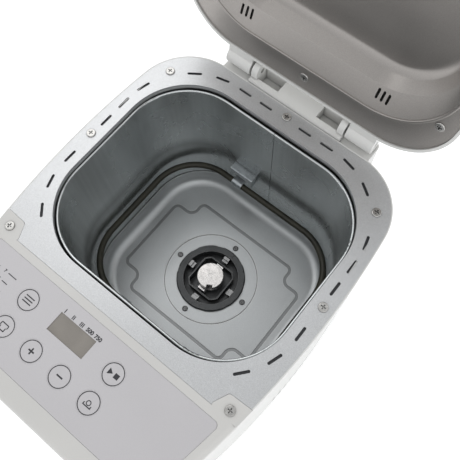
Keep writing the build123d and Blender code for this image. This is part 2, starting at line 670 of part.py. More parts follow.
# ---------------------------------------------------------------- pan seat
with BuildPart() as pan_seat:
    with BuildSketch(Plane.XZ.offset(-SHAFT_Y)):
        with BuildLine():
            Polyline(
                (SEAT_R, FLOOR_Z),
                (SEAT_R, FLOOR_Z + SEAT_RISE - 1.2),
                (SEAT_R - 1.2, FLOOR_Z + SEAT_RISE),
                (SEAT_BORE_R, FLOOR_Z + SEAT_RISE),
                (SEAT_BORE_R, FLOOR_Z - SEAT_DEPTH + 4),
                (COLLAR_R - 0.6, FLOOR_Z - SEAT_DEPTH + 4),
                (COLLAR_R - 0.6, FLOOR_Z - SEAT_DEPTH + 2),
                (SHAFT_R + 0.8, FLOOR_Z - SEAT_DEPTH + 2),
                (SHAFT_R + 0.8, FLOOR_Z - SEAT_DEPTH),
                (SEAT_BORE_R + 2.2, FLOOR_Z - SEAT_DEPTH),
                (SEAT_BORE_R + 2.2, FLOOR_Z),
                close=True,
            )
        make_face()
    revolve(axis=Axis((0, SHAFT_Y, 0), (0, 0, 1)))
    with BuildSketch(Plane.XY.offset(FLOOR_Z - SEAT_DEPTH + 1)) as collar:
        with Locations((0, SHAFT_Y)):
            Circle(COLLAR_R)
            Rectangle(2 * COLLAR_FLAT, 2 * COLLAR_FLAT, mode=Mode.INTERSECT)
        offset(amount=-1.3, mode=Mode.SUBTRACT)
    extrude(amount=SEAT_DEPTH - 1)
    with BuildSketch(Plane.XY.offset(FLOOR_Z + 0.2)):
        with Locations((0, SHAFT_Y)):
            with PolarLocations(SEAT_R, 8, start_angle=22.5):
                Rectangle(2.2, 7)
    extrude(amount=SEAT_RISE, mode=Mode.SUBTRACT)
pieces["pan_seat"] = pan_seat

with BuildPart() as seat_clips:
    with BuildSketch(Plane.XY.offset(FLOOR_Z - SEAT_DEPTH + 4)):
        with Locations((0, SHAFT_Y)):
            with PolarLocations(SEAT_BORE_R - 2.2, 4):
                Rectangle(3.0, 6.5)
    extrude(amount=11.5)
    with BuildSketch(Plane.XY.offset(FLOOR_Z - 1.5)):
        with Locations((0, SHAFT_Y)):
            with PolarLocations(SEAT_BORE_R - 3.6, 4):
                Rectangle(5.8, 6.5)
    extrude(amount=1)
pieces["seat_clips"] = seat_clips

SEAT_SCREWS = [(SEAT_SCREW_R * x, SHAFT_Y + SEAT_SCREW_R * y) for x, y in ((1, 0), (-1, 0), (0, 1), (0, -1))]
with BuildPart() as seat_screws:
    with BuildSketch(Plane.XY.offset(FLOOR_Z)):
        with Locations(*SEAT_SCREWS):
            Circle(3)
    extrude(amount=1.2)
    fillet(seat_screws.edges().group_by(Axis.Z)[-1], 0.7)
    with BuildSketch(Plane.XY.offset(FLOOR_Z)):
        with Locations(*SEAT_SCREWS):
            Circle(SCREW_R)
    extrude(amount=-14)
    with BuildSketch(Plane.XY.offset(FLOOR_Z + 1.2)):
        with Locations(*SEAT_SCREWS):
            Rectangle(3.6, 0.9)
            Rectangle(0.9, 3.6)
    extrude(amount=-0.8, mode=Mode.SUBTRACT)
pieces["seat_screws"] = seat_screws

# ---------------------------------------------------------------- chassis and bearing
LEG_PLACES = [(-70, -178), (70, -178), (-70, 62), (70, 62)]
LEG_SCREWS = [(x, y + 7) for x, y in LEG_PLACES]
with BuildPart() as chassis_plate:
    with BuildSketch(Plane.XY.offset(CHASSIS_TOP - CHASSIS)):
        with Locations((0, -58)):
            RectangleRounded(156, 256, 8)
        with Locations((0, SHAFT_Y), (0, MOTOR_Y)):
            Circle(BUSH_R + 6, mode=Mode.SUBTRACT)
        with Locations((-45, -80), (45, -80), (0, 45)):
            RectangleRounded(46, 26, 6, mode=Mode.SUBTRACT)
    extrude(amount=CHASSIS)
    with BuildSketch(Plane.XY.offset(CASE_BOTTOM)):
        with Locations(*LEG_PLACES):
            Rectangle(12, CHASSIS)
    extrude(amount=CHASSIS_TOP - CHASSIS - CASE_BOTTOM)
    with BuildSketch(Plane.XY.offset(CASE_BOTTOM)):
        with Locations(*LEG_SCREWS):
            Rectangle(12, 14 + CHASSIS)
            Circle(SCREW_R + FIT, mode=Mode.SUBTRACT)
    extrude(amount=CHASSIS)
pieces["chassis_plate"] = chassis_plate

POST_PLACES = [(-50, -52), (50, -52), (-50, 36), (50, 36)]
with BuildPart() as support_posts:
    with BuildSketch(Plane.XY.offset(CHASSIS_TOP)):
        with Locations(*POST_PLACES):
            Circle(4.5)
            Circle(SCREW_R, mode=Mode.SUBTRACT)
    extrude(amount=CHASSIS_DROP - PLATE)
pieces["support_posts"] = support_posts

HOUSING_TOP = FLOOR_Z - SEAT_DEPTH
with BuildPart() as bearing_housing:
    with BuildSketch(Plane.XY.offset(CHASSIS_TOP)):
        with Locations((0, SHAFT_Y)):
            Circle(26)
    extrude(amount=3)
    with BuildSketch(Plane.XY.offset(CHASSIS_TOP)):
        with Locations((0, SHAFT_Y)):
            Circle(BUSH_R + 4.5)
            with PolarLocations(16, 4, start_angle=45):
                Rectangle(16, 2.4)
    extrude(amount=HOUSING_TOP - CHASSIS_TOP)
    with BuildSketch(Plane.XY.offset(CHASSIS_TOP)):
        with Locations((0, SHAFT_Y)):
            Circle(BUSH_R)
    extrude(amount=HOUSING_TOP - CHASSIS_TOP, mode=Mode.SUBTRACT)
pieces["bearing_housing"] = bearing_housing

with BuildPart() as shaft_bushes:
    for bush_z in (CHASSIS_TOP, HOUSING_TOP - 4.5):
        with BuildSketch(Plane.XY.offset(bush_z)):
            with Locations((0, SHAFT_Y)):
                Circle(BUSH_R)
                Circle(SHAFT_R + RUNNING, mode=Mode.SUBTRACT)
        extrude(amount=4.5)
pieces["shaft_bushes"] = shaft_bushes

with BuildPart() as shaft_seal:
    with BuildSketch(Plane.XY.offset(HOUSING_TOP + 2)):
        with Locations((0, SHAFT_Y)):
            Circle(8)
            Circle(SHAFT_R + 0.3, mode=Mode.SUBTRACT)
    extrude(amount=1.6)
pieces["shaft_seal"] = shaft_seal

# ---------------------------------------------------------------- drive shaft, coupler and pulleys
COUPLER_Z = FLOOR_Z + COUPLER_TOP
COUPLER_DISC = 4.0
with BuildPart() as drive_shaft:
    with BuildSketch(Plane.XY.offset(PULLEY_TOP - PULLEY_WIDTH - 3)):
        with Locations((0, SHAFT_Y)):
            Circle(SHAFT_R)
    extrude(amount=COUPLER_Z - 1 - (PULLEY_TOP - PULLEY_WIDTH - 3))
pieces["drive_shaft"] = drive_shaft

with BuildPart() as drive_coupler:
    with BuildSketch(Plane.XY.offset(HOUSING_TOP + 5)):
        with Locations((0, SHAFT_Y)):
            Circle(7)
    extrude(amount=COUPLER_Z - HOUSING_TOP - 5)
    with BuildSketch(Plane.XY.offset(COUPLER_Z - COUPLER_DISC)):
        with Locations((0, SHAFT_Y)):
            Circle(COUPLER_R)
    extrude(amount=COUPLER_DISC)
    fillet(drive_coupler.edges().group_by(Axis.Z)[-1], 0.6)
    with BuildSketch(Plane.XY.offset(FLOOR_Z - 6)):
        with Locations((0, SHAFT_Y)):
            Circle(12.5)
            Rectangle(8, 33)
    extrude(amount=4)
    with BuildSketch(Plane.XY.offset(FLOOR_Z - 3)):
        with Locations((0, SHAFT_Y + 14.5), (0, SHAFT_Y - 14.5)):
            Rectangle(8, 4)
    extrude(amount=6)
    notch_angle = -56
    with BuildSketch(Plane.XY.offset(COUPLER_Z - COUPLER_DISC)):
        with Locations((0, SHAFT_Y)):
            with PolarLocations(COUPLER_R, 1, start_angle=notch_angle):
                Rectangle(8, 6.6)
    extrude(amount=COUPLER_DISC, mode=Mode.SUBTRACT)
    with BuildSketch(Plane.XY.offset(HOUSING_TOP + 5)):
        with Locations((0, SHAFT_Y)):
            Circle(SHAFT_R)
    extrude(amount=COUPLER_Z - 1 - HOUSING_TOP - 5, mode=Mode.SUBTRACT)
    with BuildSketch(Plane.XY.offset(COUPLER_Z - 0.4)):
        with Locations((0, SHAFT_Y)):
            Circle(2.6)
    extrude(amount=0.4, mode=Mode.SUBTRACT)
pieces["drive_coupler"] = drive_coupler


def pulley(y, seat_r, bore_r, web):
    """A flanged belt pulley on a vertical shaft at y."""
    bottom = PULLEY_TOP - PULLEY_WIDTH
    with BuildPart() as wheel:
        with BuildSketch(Plane.XY.offset(bottom)):
            with Locations((0, y)):
                Circle(seat_r)
        extrude(amount=PULLEY_WIDTH)
        with BuildSketch(Plane.XY.offset(bottom)):
            with Locations((0, y)):
                Circle(seat_r + 2.5)
        extrude(amount=PULLEY_FLANGE)
        with BuildSketch(Plane.XY.offset(PULLEY_TOP - PULLEY_FLANGE)):
            with Locations((0, y)):
                Circle(seat_r + 2.5)
        extrude(amount=PULLEY_FLANGE)
        if web:
            with BuildSketch(Plane.XY.offset(bottom + 3)):
                with Locations((0, y)):
                    Circle(seat_r - 4)
                    Circle(10, mode=Mode.SUBTRACT)
            extrude(amount=PULLEY_WIDTH - 3, mode=Mode.SUBTRACT)
            with BuildSketch(Plane.XY.offset(bottom)):
                with Locations((0, y)):
                    with PolarLocations(seat_r / 2 + 3, 6):
                        Circle(6.5)
            extrude(amount=3, mode=Mode.SUBTRACT)
        with BuildSketch(Plane.XY.offset(bottom)):
            with Locations((0, y)):
                Circle(bore_r)
        extrude(amount=PULLEY_WIDTH, mode=Mode.SUBTRACT)
    return wheel


driven_pulley = pulley(SHAFT_Y, PULLEY_R, SHAFT_R, True)
pieces["driven_pulley"] = driven_pulley
motor_pulley = pulley(MOTOR_Y, MOTOR_PULLEY_R, MOTOR_SHAFT_R, False)
pieces["motor_pulley"] = motor_pulley

with BuildPart() as shaft_clip:
    with BuildSketch(Plane.XY.offset(PULLEY_TOP - PULLEY_WIDTH - 1.2)):
        with Locations((0, SHAFT_Y)):
            Circle(SHAFT_R + 2.5)
            Circle(SHAFT_R, mode=Mode.SUBTRACT)
        with Locations((0, SHAFT_Y + SHAFT_R + 1)):
            Rectangle(3, 5, mode=Mode.SUBTRACT)
    extrude(amount=1.2)
pieces["shaft_clip"] = shaft_clip


def belt_loop(grow):
    """Outline of a belt face that stands grow off both pulley seats."""
    with BuildSketch() as loop_plan:
        with Locations((0, SHAFT_Y)):
            Circle(PULLEY_R + grow)
        with Locations((0, MOTOR_Y)):
            Circle(MOTOR_PULLEY_R + grow)
        make_hull()
    return loop_plan.sketch


with BuildPart() as drive_belt:
    with BuildSketch(Plane.XY.offset(BELT_MID - BELT_WIDTH / 2)):
        add(belt_loop(BELT_GAP + BELT))
        add(belt_loop(BELT_GAP), mode=Mode.SUBTRACT)
    extrude(amount=BELT_WIDTH)
pieces["drive_belt"] = drive_belt

# ---------------------------------------------------------------- motor
MOTOR_BOTTOM = CHASSIS_TOP + 5.0
with BuildPart() as motor_case:
    with BuildSketch(Plane.XY.offset(MOTOR_BOTTOM)):
        with Locations((0, MOTOR_Y)):
            Circle(MOTOR_R)
    extrude(amount=MOTOR_HEIGHT)
    fillet(motor_case.edges().group_by(Axis.Z)[-1], 3)
    with BuildSketch(Plane.XY.offset(MOTOR_BOTTOM)):
        with Locations((0, MOTOR_Y)):
            SlotOverall(2 * MOTOR_R + 22, 16)
            with Locations((-MOTOR_R - 5, 0), (MOTOR_R + 5, 0)):
                Circle(SCREW_R + FIT, mode=Mode.SUBTRACT)
    extrude(amount=2)
    with BuildSketch(Plane.XY.offset(MOTOR_BOTTOM + 8)):
        with Locations((0, MOTOR_Y)):
            Circle(ROTOR_R + 1)
    extrude(amount=MOTOR_HEIGHT - 16, mode=Mode.SUBTRACT)
    with BuildSketch(Plane.XY.offset(MOTOR_BOTTOM)):
        with Locations((0, MOTOR_Y)):
            Circle(MOTOR_SHAFT_R + RUNNING)
    extrude(amount=MOTOR_HEIGHT, mode=Mode.SUBTRACT)
    with BuildSketch(Plane.XZ.offset(-MOTOR_Y)):
        with Locations(*[(0, MOTOR_BOTTOM + 20 + 6 * i) for i in range(5)]):
            SlotOverall(20, 2.4)
    extrude(amount=MOTOR_R + 2, mode=Mode.SUBTRACT)
pieces["motor_case"] = motor_case

with BuildPart() as motor_mounts:
    with BuildSketch(Plane.XY.offset(CHASSIS_TOP)):
        with Locations((-MOTOR_R - 5, MOTOR_Y), (MOTOR_R + 5, MOTOR_Y)):
            Circle(5)
            Circle(SCREW_R, mode=Mode.SUBTRACT)
    extrude(amount=MOTOR_BOTTOM - CHASSIS_TOP)
pieces["motor_mounts"] = motor_mounts

with BuildPart() as motor_rotor:
    with BuildSketch(Plane.XY.offset(PULLEY_TOP - PULLEY_WIDTH - 2)):
        with Locations((0, MOTOR_Y)):
            Circle(MOTOR_SHAFT_R)
    extrude(amount=MOTOR_BOTTOM + MOTOR_HEIGHT + 4 - (PULLEY_TOP - PULLEY_WIDTH - 2))
    with BuildSketch(Plane.XY.offset(MOTOR_BOTTOM + 10)):
        with Locations((0, MOTOR_Y)):
            Circle(ROTOR_R)
    extrude(amount=MOTOR_HEIGHT - 20)
pieces["motor_rotor"] = motor_rotor

# ---------------------------------------------------------------- base, feet and power board
POWER_CENTRE = (-74, -128)
POWER_POSTS = [(POWER_CENTRE[0] + x, POWER_CENTRE[1] + y) for x in (-20, 20) for y in (-30, 30)]
with BuildPart() as base_pan:
    with BuildSketch(Plane.XY.offset(BASE_Z)):
        add(body_outline(0))
        with Locations(*FEET):
            Circle(4, mode=Mode.SUBTRACT)
        with Locations(*LEG_SCREWS):
            Circle(SCREW_R + FIT, mode=Mode.SUBTRACT)
        with Locations((0, -105)):
            with GridLocations(9, 30, 9, 3):
                SlotOverall(22, 3.2, rotation=90, mode=Mode.SUBTRACT)
    extrude(amount=BASE_PLATE)
    chamfer(base_pan.faces().sort_by(Axis.Z)[0].outer_wire().edges(), 1.5)
    with BuildSketch(Plane.XY.offset(CASE_BOTTOM)):
        add(body_outline(WALL + FIT))
        add(body_outline(WALL + FIT + 2), mode=Mode.SUBTRACT)
        with Locations(*POWER_POSTS):
            Circle(3)
    extrude(amount=7)
pieces["base_pan"] = base_pan

with BuildPart() as rubber_feet:
    with BuildSketch(Plane.XY.offset(BASE_Z - FOOT_HEIGHT)):
        with Locations(*FEET):
            Circle(9)
    extrude(amount=FOOT_HEIGHT)
    chamfer(rubber_feet.edges().group_by(Axis.Z)[0], 1)
    with BuildSketch(Plane.XY.offset(BASE_Z)):
        with Locations(*FEET):
            Circle(3.9)
    extrude(amount=BASE_PLATE + 2)
pieces["rubber_feet"] = rubber_feet

base_screws = screws(LEG_SCREWS, BASE_Z, BASE_PLATE + 6, side=-1)
pieces["base_screws"] = base_screws

POWER_Z = CASE_BOTTOM + 7
with BuildPart() as power_board:
    with BuildSketch(Plane.XY.offset(POWER_Z)):
        with Locations(POWER_CENTRE):
            Rectangle(50, 72)
    extrude(amount=BOARD)
pieces["power_board"] = power_board

with BuildPart() as power_components:
    with BuildSketch(Plane.XY.offset(POWER_Z + BOARD)):
        with Locations(POWER_CENTRE):
            with Locations((8, 18)):
                Rectangle(26, 22)
    extrude(amount=16)
    with BuildSketch(Plane.XY.offset(POWER_Z + BOARD)):
        with Locations(POWER_CENTRE):
            with Locations((12, -10), (12, -24)):
                Rectangle(18, 10)
            with Locations((-12, 22), (-12, 8)):
                Circle(5)
    extrude(amount=13)
pieces["power_components"] = power_components

with BuildPart() as ribbon_cable:
    with BuildSketch(Plane.XY.offset(POWER_Z + BOARD)):
        with Locations((POWER_CENTRE[0] - 16, POWER_CENTRE[1] - 34)):
            Rectangle(16, 0.8)
    extrude(amount=-BOARD_DROP - BOARD - POWER_Z - BOARD)
pieces["ribbon_cable"] = ribbon_cable

# ---------------------------------------------------------------- hinge
HINGE_REAR = BODY_REAR + HINGE_DEPTH
with BuildPart() as hinge_housing:
    with BuildSketch(Plane.XY.offset(-32)):
        with Locations((0, BODY_REAR + HINGE_DEPTH / 2)):
            Rectangle(2 * KNUCKLE_X[1] + 4, HINGE_DEPTH)
    extrude(amount=32 - 3)
    fillet(hinge_housing.edges().filter_by(Axis.Z).group_by(Axis.Y)[-1], 5)
    with BuildSketch(Plane.XY.offset(-3)):
        with Locations((0, BODY_REAR + 0.4 + (HINGE_DEPTH - 0.4) / 2)):
            Rectangle(2 * HINGE_HALF, HINGE_DEPTH - 0.4)
    extrude(amount=3 + 3.5)
    for hand in (-1, 1):
        with BuildSketch(Plane.YZ.offset(hand * (HINGE_HALF - 3) - 3)):
            with Locations((HINGE_Y, HINGE_Z)):
                Circle(KNUCKLE_R - 0.5)
            with Locations((HINGE_Y, 0)):
                Rectangle(2 * KNUCKLE_R - 1, 2 * HINGE_Z)
        extrude(amount=6)
    with BuildSketch(Plane.XY.offset(-9)):
        with Locations((-31, BODY_REAR + 12), (31, BODY_REAR + 12)):
            Rectangle(22, 13)
    extrude(amount=20, mode=Mode.SUBTRACT)
    with BuildSketch(Plane.YZ.offset(-HINGE_HALF)):
        with Locations((HINGE_Y, HINGE_Z)):
            Circle(PIN_R)
    extrude(amount=2 * HINGE_HALF, mode=Mode.SUBTRACT)
pieces["hinge_housing"] = hinge_housing

with BuildPart() as hinge_pins:
    for hand in (-1, 1):
        with BuildSketch(Plane.YZ.offset(hand * (HINGE_HALF - 6))):
            with Locations((HINGE_Y, HINGE_Z)):
                Circle(PIN_R)
        extrude(amount=hand * (KNUCKLE_X[1] - 3 - HINGE_HALF + 6))
pieces["hinge_pins"] = hinge_pins

# ---------------------------------------------------------------- lid, drawn closed
VENT_XS = [59.5, 64.1, 68.7]


def lid_plan(inset):
    """The lid's plan, drawn in by inset."""
    return outline(
        LID_HALF - inset,
        BODY_REAR - inset,
        LID_FRONT + inset,
        LID_CORNER - inset,
        LID_FRONT_CORNER - inset,
    )


LID_SCREWS = [(0, BODY_REAR - 15.3), (0, LID_FRONT + 13.0)]
for hand in (-1, 1):
    LID_SCREWS += [(hand * 111.5, BODY_REAR - 49.0), (hand * 104.0, LID_FRONT + 26.0)]

with BuildPart() as lid_hollow:
    with BuildSketch(Plane.XY.offset(LID_GAP)):
        add(lid_plan(LID_WALL))
    extrude(amount=LID_HEIGHT - LID_WALL)
    fillet(lid_hollow.faces().sort_by(Axis.Z)[-1].edges(), LID_FILLET - LID_WALL)
    with BuildSketch(Plane.XY.offset(LID_LINER_LIFT + PLATE)):
        with Locations(*LID_SCREWS):
            Circle(4.5)
    extrude(amount=LID_HEIGHT, mode=Mode.SUBTRACT)

with BuildPart() as lid_shell:
    with BuildSketch(Plane.XY.offset(LID_GAP)):
        add(lid_plan(0))
    extrude(amount=LID_HEIGHT)
    fillet(lid_shell.faces().sort_by(Axis.Z)[-1].edges(), LID_FILLET)
    # Finger grip along the front edge
    with BuildSketch(Plane.XY.offset(LID_GAP + 8)):
        with Locations((0, LID_FRONT)):
            SlotOverall(96, 15)
    extrude(amount=7)
    # Hinge knuckles
    for hand in (-1, 1):
        with BuildSketch(Plane.YZ.offset(hand * (KNUCKLE_X[0] + KNUCKLE_X[1]) / 2)):
            with Locations((HINGE_Y, HINGE_Z)):
                Circle(KNUCKLE_R)
            with Locations(((BODY_REAR - 6 + HINGE_Y) / 2, (LID_GAP + HINGE_Z + KNUCKLE_R) / 2)):
                Rectangle(HINGE_Y - BODY_REAR + 6, HINGE_Z + KNUCKLE_R - LID_GAP)
        extrude(amount=(KNUCKLE_X[1] - KNUCKLE_X[0]) / 2, both=True)
    add(lid_hollow.part, mode=Mode.SUBTRACT)
    with BuildSketch(Plane.XY.offset(LID_LINER_LIFT)):
        with Locations(*LID_SCREWS):
            Circle(SCREW_R)
    extrude(amount=14, mode=Mode.SUBTRACT)
    with BuildSketch(Plane.YZ.offset(-KNUCKLE_X[1] - 1)):
        with Locations((HINGE_Y, HINGE_Z)):
            Circle(PIN_R + RUNNING)
    extrude(amount=2 * KNUCKLE_X[1] + 2, mode=Mode.SUBTRACT)
    # Steam outlets in the roof
    with BuildSketch(Plane.XY.offset(LID_GAP + LID_HEIGHT - 8)):
        with Locations((-64, 72), (64, 72)):
            with GridLocations(6, 0, 5, 1):
                SlotOverall(18, 2.4, rotation=90)
    extrude(amount=10, mode=Mode.SUBTRACT)


def lid_recess(grow):
    """The hollow pressed up into the lid liner, grown by the sheet's thickness for its outside."""
    half, rear, front = LID_HALF - LID_WALL, BODY_REAR - LID_WALL, LID_FRONT + LID_WALL
    steps = ((BEAD_INSET, 0, 60.0), (DOME_INSET, BAND_RISE, 56.0))
    with BuildPart() as recess:
        for (side_in, rear_in, front_in), rise, corner in steps:
            with BuildSketch(Plane.XY.offset(LID_LINER_LIFT + rise + grow * (rise > 0))):
                middle = (rear - rear_in + front + front_in) / 2
                depth = rear - rear_in - front - front_in
                with Locations((0, middle)):
                    RectangleRounded(2 * (half - side_in + grow), depth + 2 * grow, corner + grow)
        loft()
        dome_foot = recess.faces().sort_by(Axis.Z)[-1]
        extrude(dome_foot, amount=DOME_RISE - BAND_RISE, taper=32)
        fillet(recess.faces().sort_by(Axis.Z)[-1].edges(), 9)
    return recess.part


with BuildPart() as lid_bead:
    bead_rear = BODY_REAR - LID_WALL - BEAD_INSET[1]
    bead_front = LID_FRONT + LID_WALL + BEAD_INSET[2]
    bead_half = LID_HALF - LID_WALL - BEAD_INSET[0]
    with BuildSketch(Plane.XY.offset(LID_LINER_LIFT - LID_BEAD)):
        with Locations((0, (bead_rear + bead_front) / 2)):
            RectangleRounded(2 * bead_half + 6, bead_rear - bead_front + 6, 63)
            RectangleRounded(2 * bead_half + 1, bead_rear - bead_front + 1, 60.5, mode=Mode.SUBTRACT)
    extrude(amount=LID_BEAD + PLATE / 2)
    fillet(lid_bead.edges().group_by(Axis.Z)[0], LID_BEAD * 0.8)

recess_outside = lid_recess(PLATE)
recess_inside = lid_recess(0)
with BuildPart() as lid_liner:
    with BuildSketch(Plane.XY.offset(LID_LINER_LIFT)):
        add(lid_plan(LID_WALL + FIT))
        with Locations(*LID_SCREWS):
            Circle(SCREW_R + FIT, mode=Mode.SUBTRACT)
    extrude(amount=PLATE)
    add(recess_outside)
    add(recess_inside, mode=Mode.SUBTRACT)
    add(lid_bead.part)
    with BuildSketch(Plane.XY.offset(LID_LINER_LIFT)):
        with Locations(*[(hand * x, BODY_REAR - 40.0) for hand in (-1, 1) for x in VENT_XS]):
            SlotOverall(9, 2.2, rotation=90)
    extrude(amount=DOME_RISE, mode=Mode.SUBTRACT)

lid_screws = screws(LID_SCREWS, LID_LINER_LIFT, 12, side=-1)

# ---------------------------------------------------------------- swing the lid open
hinge_axis = Axis((0, HINGE_Y, HINGE_Z), (1, 0, 0))
for lid_piece in (lid_shell, lid_liner, lid_screws):
    lid_piece.part = lid_piece.part.rotate(hinge_axis, -OPEN_ANGLE)
pieces["lid_shell"] = lid_shell
pieces["lid_liner"] = lid_liner
pieces["lid_screws"] = lid_screws

# ---------------------------------------------------------------- stand it on the ground and write it
boxes = [piece.part.bounding_box() for piece in pieces.values()]
middle_y = (min(box.min.Y for box in boxes) + max(box.max.Y for box in boxes)) / 2
stand = Location((0, -middle_y, FOOT_HEIGHT + BODY_DEPTH))
for name, piece in pieces.items():
    piece.part = piece.part.moved(stand)
    piece.part.label = name
    export_step(piece.part, f"parts/{name}.step")
print("frame shift", -middle_y, FOOT_HEIGHT + BODY_DEPTH)
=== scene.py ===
import json
from math import cos, radians, sin

import bmesh
import bpy
from mathutils import Matrix, Vector


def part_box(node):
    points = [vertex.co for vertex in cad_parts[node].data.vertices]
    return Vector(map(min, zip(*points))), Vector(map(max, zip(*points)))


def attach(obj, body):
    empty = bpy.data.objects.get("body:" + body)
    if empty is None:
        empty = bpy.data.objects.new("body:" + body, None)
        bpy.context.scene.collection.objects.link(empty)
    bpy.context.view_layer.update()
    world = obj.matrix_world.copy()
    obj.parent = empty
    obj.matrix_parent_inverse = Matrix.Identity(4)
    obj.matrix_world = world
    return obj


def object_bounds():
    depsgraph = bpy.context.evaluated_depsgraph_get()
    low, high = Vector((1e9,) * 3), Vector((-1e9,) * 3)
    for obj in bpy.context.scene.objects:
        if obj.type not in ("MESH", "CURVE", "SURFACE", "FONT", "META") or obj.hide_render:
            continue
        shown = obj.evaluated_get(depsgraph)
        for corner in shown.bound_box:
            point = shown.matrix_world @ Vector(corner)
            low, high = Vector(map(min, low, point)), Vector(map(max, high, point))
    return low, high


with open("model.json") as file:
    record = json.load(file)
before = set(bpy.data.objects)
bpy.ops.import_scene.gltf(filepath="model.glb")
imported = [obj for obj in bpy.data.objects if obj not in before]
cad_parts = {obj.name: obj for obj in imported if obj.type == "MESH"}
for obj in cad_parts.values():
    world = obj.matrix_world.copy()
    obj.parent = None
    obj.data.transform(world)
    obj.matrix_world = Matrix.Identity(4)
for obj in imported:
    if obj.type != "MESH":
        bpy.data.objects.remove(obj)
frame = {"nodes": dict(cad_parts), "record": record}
cad_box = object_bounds()
nodes = frame["nodes"]

# The deck frame: x = 0 on the middle plane, y = 0 at the middle of the oven, z = 0 on the deck. Millimetres.
pan_low, pan_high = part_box("oven_floor_pan")
DECK_Y = (pan_low[1] + pan_high[1]) / 2
DECK_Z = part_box("deck_plate")[1][2]


def at(x, y, z=0.0):
    """A place in the deck frame, in metres in the row's frame."""
    return Vector((x / 1000, y / 1000 + DECK_Y, z / 1000 + DECK_Z))


# ---------------------------------------------------------------- materials
BUMP_DISTANCE = 0.0002  # metres
WEAR_AND_HIGHLIGHT_RADIUS = 0.0005  # metres of edge that the worn-edge tint and painted edge highlight reach, where a look doesn't say


def drive(tree, socket, value):
    """Set a socket to a number or colour, or link it to another node's output."""
    if isinstance(value, bpy.types.NodeSocket):
        tree.links.new(value, socket)
    else:
        socket.default_value = value


def noise(tree, scale, detail, place, distortion=0.0):
    """Noise from 0 to 1 at a place."""
    node = tree.nodes.new("ShaderNodeTexNoise")
    node.inputs["Scale"].default_value = scale
    node.inputs["Detail"].default_value = detail
    node.inputs["Distortion"].default_value = distortion
    tree.links.new(place, node.inputs["Vector"])
    return node.outputs["Fac"]


def ramp(tree, factor, low, high, from_low=0.35, from_high=0.65):
    """A factor's range stretched to run from low to high."""
    node = tree.nodes.new("ShaderNodeMapRange")
    node.inputs["From Min"].default_value = from_low
    node.inputs["From Max"].default_value = from_high
    node.inputs["To Min"].default_value = low
    node.inputs["To Max"].default_value = high
    tree.links.new(factor, node.inputs["Value"])
    return node.outputs["Result"]


def mix(tree, factor, first, second):
    """The first colour turning into the second as the factor rises."""
    node = tree.nodes.new("ShaderNodeMix")
    node.data_type = "RGBA"
    drive(tree, node.inputs[0], factor)
    drive(tree, node.inputs[6], first)
    drive(tree, node.inputs[7], second)
    return node.outputs[2]


def painted_height_band(tree, place, low, high, amount):
    """A factor that rises to amount in the middle of a band in height, in millimetres in the deck frame."""
    split = tree.nodes.new("ShaderNodeSeparateXYZ")
    tree.links.new(place, split.inputs["Vector"])
    bottom, top = DECK_Z + low / 1000, DECK_Z + high / 1000
    middle = (bottom + top) / 2
    both = tree.nodes.new("ShaderNodeMath")
    both.operation = "MULTIPLY"
    tree.links.new(ramp(tree, split.outputs["Z"], 0, amount, bottom, middle), both.inputs[0])
    tree.links.new(ramp(tree, split.outputs["Z"], 1, 0, middle, top), both.inputs[1])
    return both.outputs[0]


def edge_wear_and_highlight_mask(tree, radius, amount):
    """A factor that is amount on sharp edges and 0 on flat faces, for worn edges and painted edge highlights.
    """
    rounded = tree.nodes.new("ShaderNodeBevel")
    rounded.samples = 6
    rounded.inputs["Radius"].default_value = radius
    sharp = tree.nodes.new("ShaderNodeVectorMath")
    sharp.operation = "DOT_PRODUCT"
    tree.links.new(rounded.outputs["Normal"], sharp.inputs[0])
    tree.links.new(tree.nodes.new("ShaderNodeNewGeometry").outputs["Normal"], sharp.inputs[1])
    return ramp(tree, sharp.outputs["Value"], amount, 0, 0.8, 0.985)


def painted_crease_shade_mask(tree, amount, distance):
    """A factor of painted shade from ambient occlusion, that is amount deep in a groove and 0 in the open."""
    hidden = tree.nodes.new("ShaderNodeAmbientOcclusion")
    hidden.samples = 8
    hidden.inputs["Distance"].default_value = distance
    return ramp(tree, hidden.outputs["AO"], amount, 0, 0.3, 0.9)


